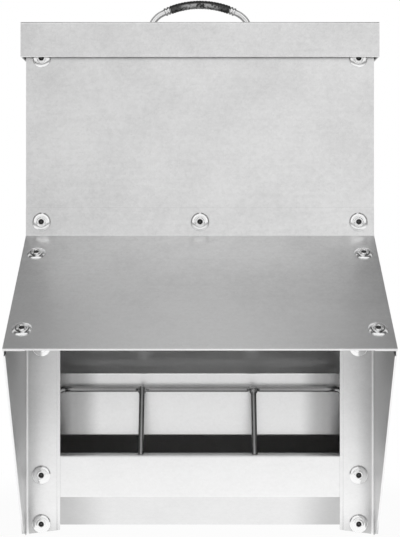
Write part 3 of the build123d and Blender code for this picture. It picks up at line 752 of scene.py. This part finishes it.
# %% [markdown]
# ## Floor, background and light
# The photograph has a white background and soft light. The floor is plain and pale and takes the
# feeder's shadow. Camera rays see it as almost white near the feeder and as white further off, and
# metal sees it as white near by and darker with distance, which gives the upright sheets their fade.

# %% Floor
floor_half = 3.0
floor_mesh = bpy.data.meshes.new("floor")
corners = [(-1, -1), (1, -1), (1, 1), (-1, 1)]
floor_points = [(right * floor_half, back * floor_half, 0) for right, back in corners]
floor_mesh.from_pydata(floor_points, [], [(0, 1, 2, 3)])
floor = bpy.data.objects.new("floor", floor_mesh)
bpy.context.scene.collection.objects.link(floor)

ground = Finish("pale_floor", metallic=0.0)
ground.feed("Base Color", (0.55, 0.55, 0.55, 1))
ground.feed("Roughness", 0.9)
ray = ground.tree.nodes.new("ShaderNodeLightPath")
away = ground.node("ShaderNodeVectorMath", {"operation": "LENGTH"}, ground.place, out="Value")
clear = ground.step(away, 0.18, 0.30, 0.96, 1.0)
sheen = ground.step(away, 0.50, 1.22, 1.0, 0.1)
seen = Value(ground, ray.outputs["Is Camera Ray"]) * clear
seen = seen + Value(ground, ray.outputs["Is Glossy Ray"]) * sheen
white = ground.node("ShaderNodeEmission", {}, (1, 1, 1, 1), 1.0)
floor_shade = ground.node("ShaderNodeMixShader", {}, seen)
floor_mix = floor_shade.socket.node
ground.tree.links.new(ground.shader.outputs[0], floor_mix.inputs[1])
ground.tree.links.new(white.socket, floor_mix.inputs[2])
ground.tree.links.new(floor_shade.socket, ground.tree.nodes["Material Output"].inputs["Surface"])
floor_mesh.materials.append(ground.material)

# %% [markdown]
# Bare metal shows little but its surroundings, so an even white world makes it flat and pale. The
# world here stands for a studio: bright and dark walls round the feeder, a ceiling with a bright strip,
# and a dark card on one side. The camera still sees white. The places and strengths were fitted to
# tones measured in the photo, so they are a guess at that studio and not a record of it. One wide,
# weak lamp in front adds the rest.

# %% A studio for the metal to reflect
world = bpy.data.worlds.new("studio")
bpy.context.scene.world = world
world.use_nodes = True
studio = Graph(world.node_tree)
backdrop = world.node_tree.nodes["Background"]
overhead_level, side_ceiling, card_dark = 0.35, 0.55, 0.9
direction = studio.node("ShaderNodeTexCoord", {}, out="Generated")
sideways, backwards, height = studio.axes(direction)
aside = studio.maths("ABSOLUTE", sideways)
around = studio.ramp(
    backwards * 0.5 + 0.5,
    (0.01, 0.55), (0.06, 0.95), (0.20, 1.0), (0.25, 0.12), (0.43, 0.14), (0.46, 0.80), (0.54, 0.80),
    (0.60, 0.15), (0.94, 0.15), (0.98, 0.80),
)
overhead = studio.step(height, 0.25, 0.5) * studio.step(backwards, 0.35, 0.55)
strip = studio.fade(aside, 0.12, 0.15) * studio.step(backwards, -0.25, 0.2, 0.80, 0.57)
ceiling = strip + studio.step(aside, 0.32, 0.42) * side_ceiling
card = studio.step(sideways, -0.30, -0.22) * studio.fade(sideways, -0.15, -0.12)
card = card * studio.fade(height, 0.13, 0.17)
horizon = studio.step(height, 0.0, 0.14, 0.36, 0.0) * studio.fade(backwards, -1.0, -0.8)
high = studio.step(height, 0.80, 0.93)
low_walls = around * (1 - card * card_dark) * (1 - overhead) + overhead_level * overhead + horizon
walls = low_walls * (1 - high) + ceiling * high
camera_ray = studio.node("ShaderNodeLightPath", {}, out="Is Camera Ray")
level = walls + camera_ray * (1 - walls)
studio.tree.links.new(level.socket, backdrop.inputs["Strength"])
backdrop.inputs["Color"].default_value = (1, 1, 1, 1)
print("world nodes:", len(studio.tree.nodes))


# %% Lamp
def softbox(name, place, target, width, height, watts):
    """A wide lamp that looks at a point."""
    data = bpy.data.lights.new(name, "AREA")
    data.shape = "RECTANGLE"
    data.size, data.size_y, data.energy = width, height, watts
    lamp = bpy.data.objects.new(name, data)
    lamp.location = place
    lamp.rotation_euler = (Vector(target) - Vector(place)).to_track_quat("-Z", "Y").to_euler()
    bpy.context.scene.collection.objects.link(lamp)
    print(name, "watts:", watts)


softbox("front_lamp", place=(0.0, -2.4, 0.5), target=(0, 0, 0.2), width=1.4, height=1.0, watts=0.4)
bpy.context.scene.view_settings.view_transform = "Standard"
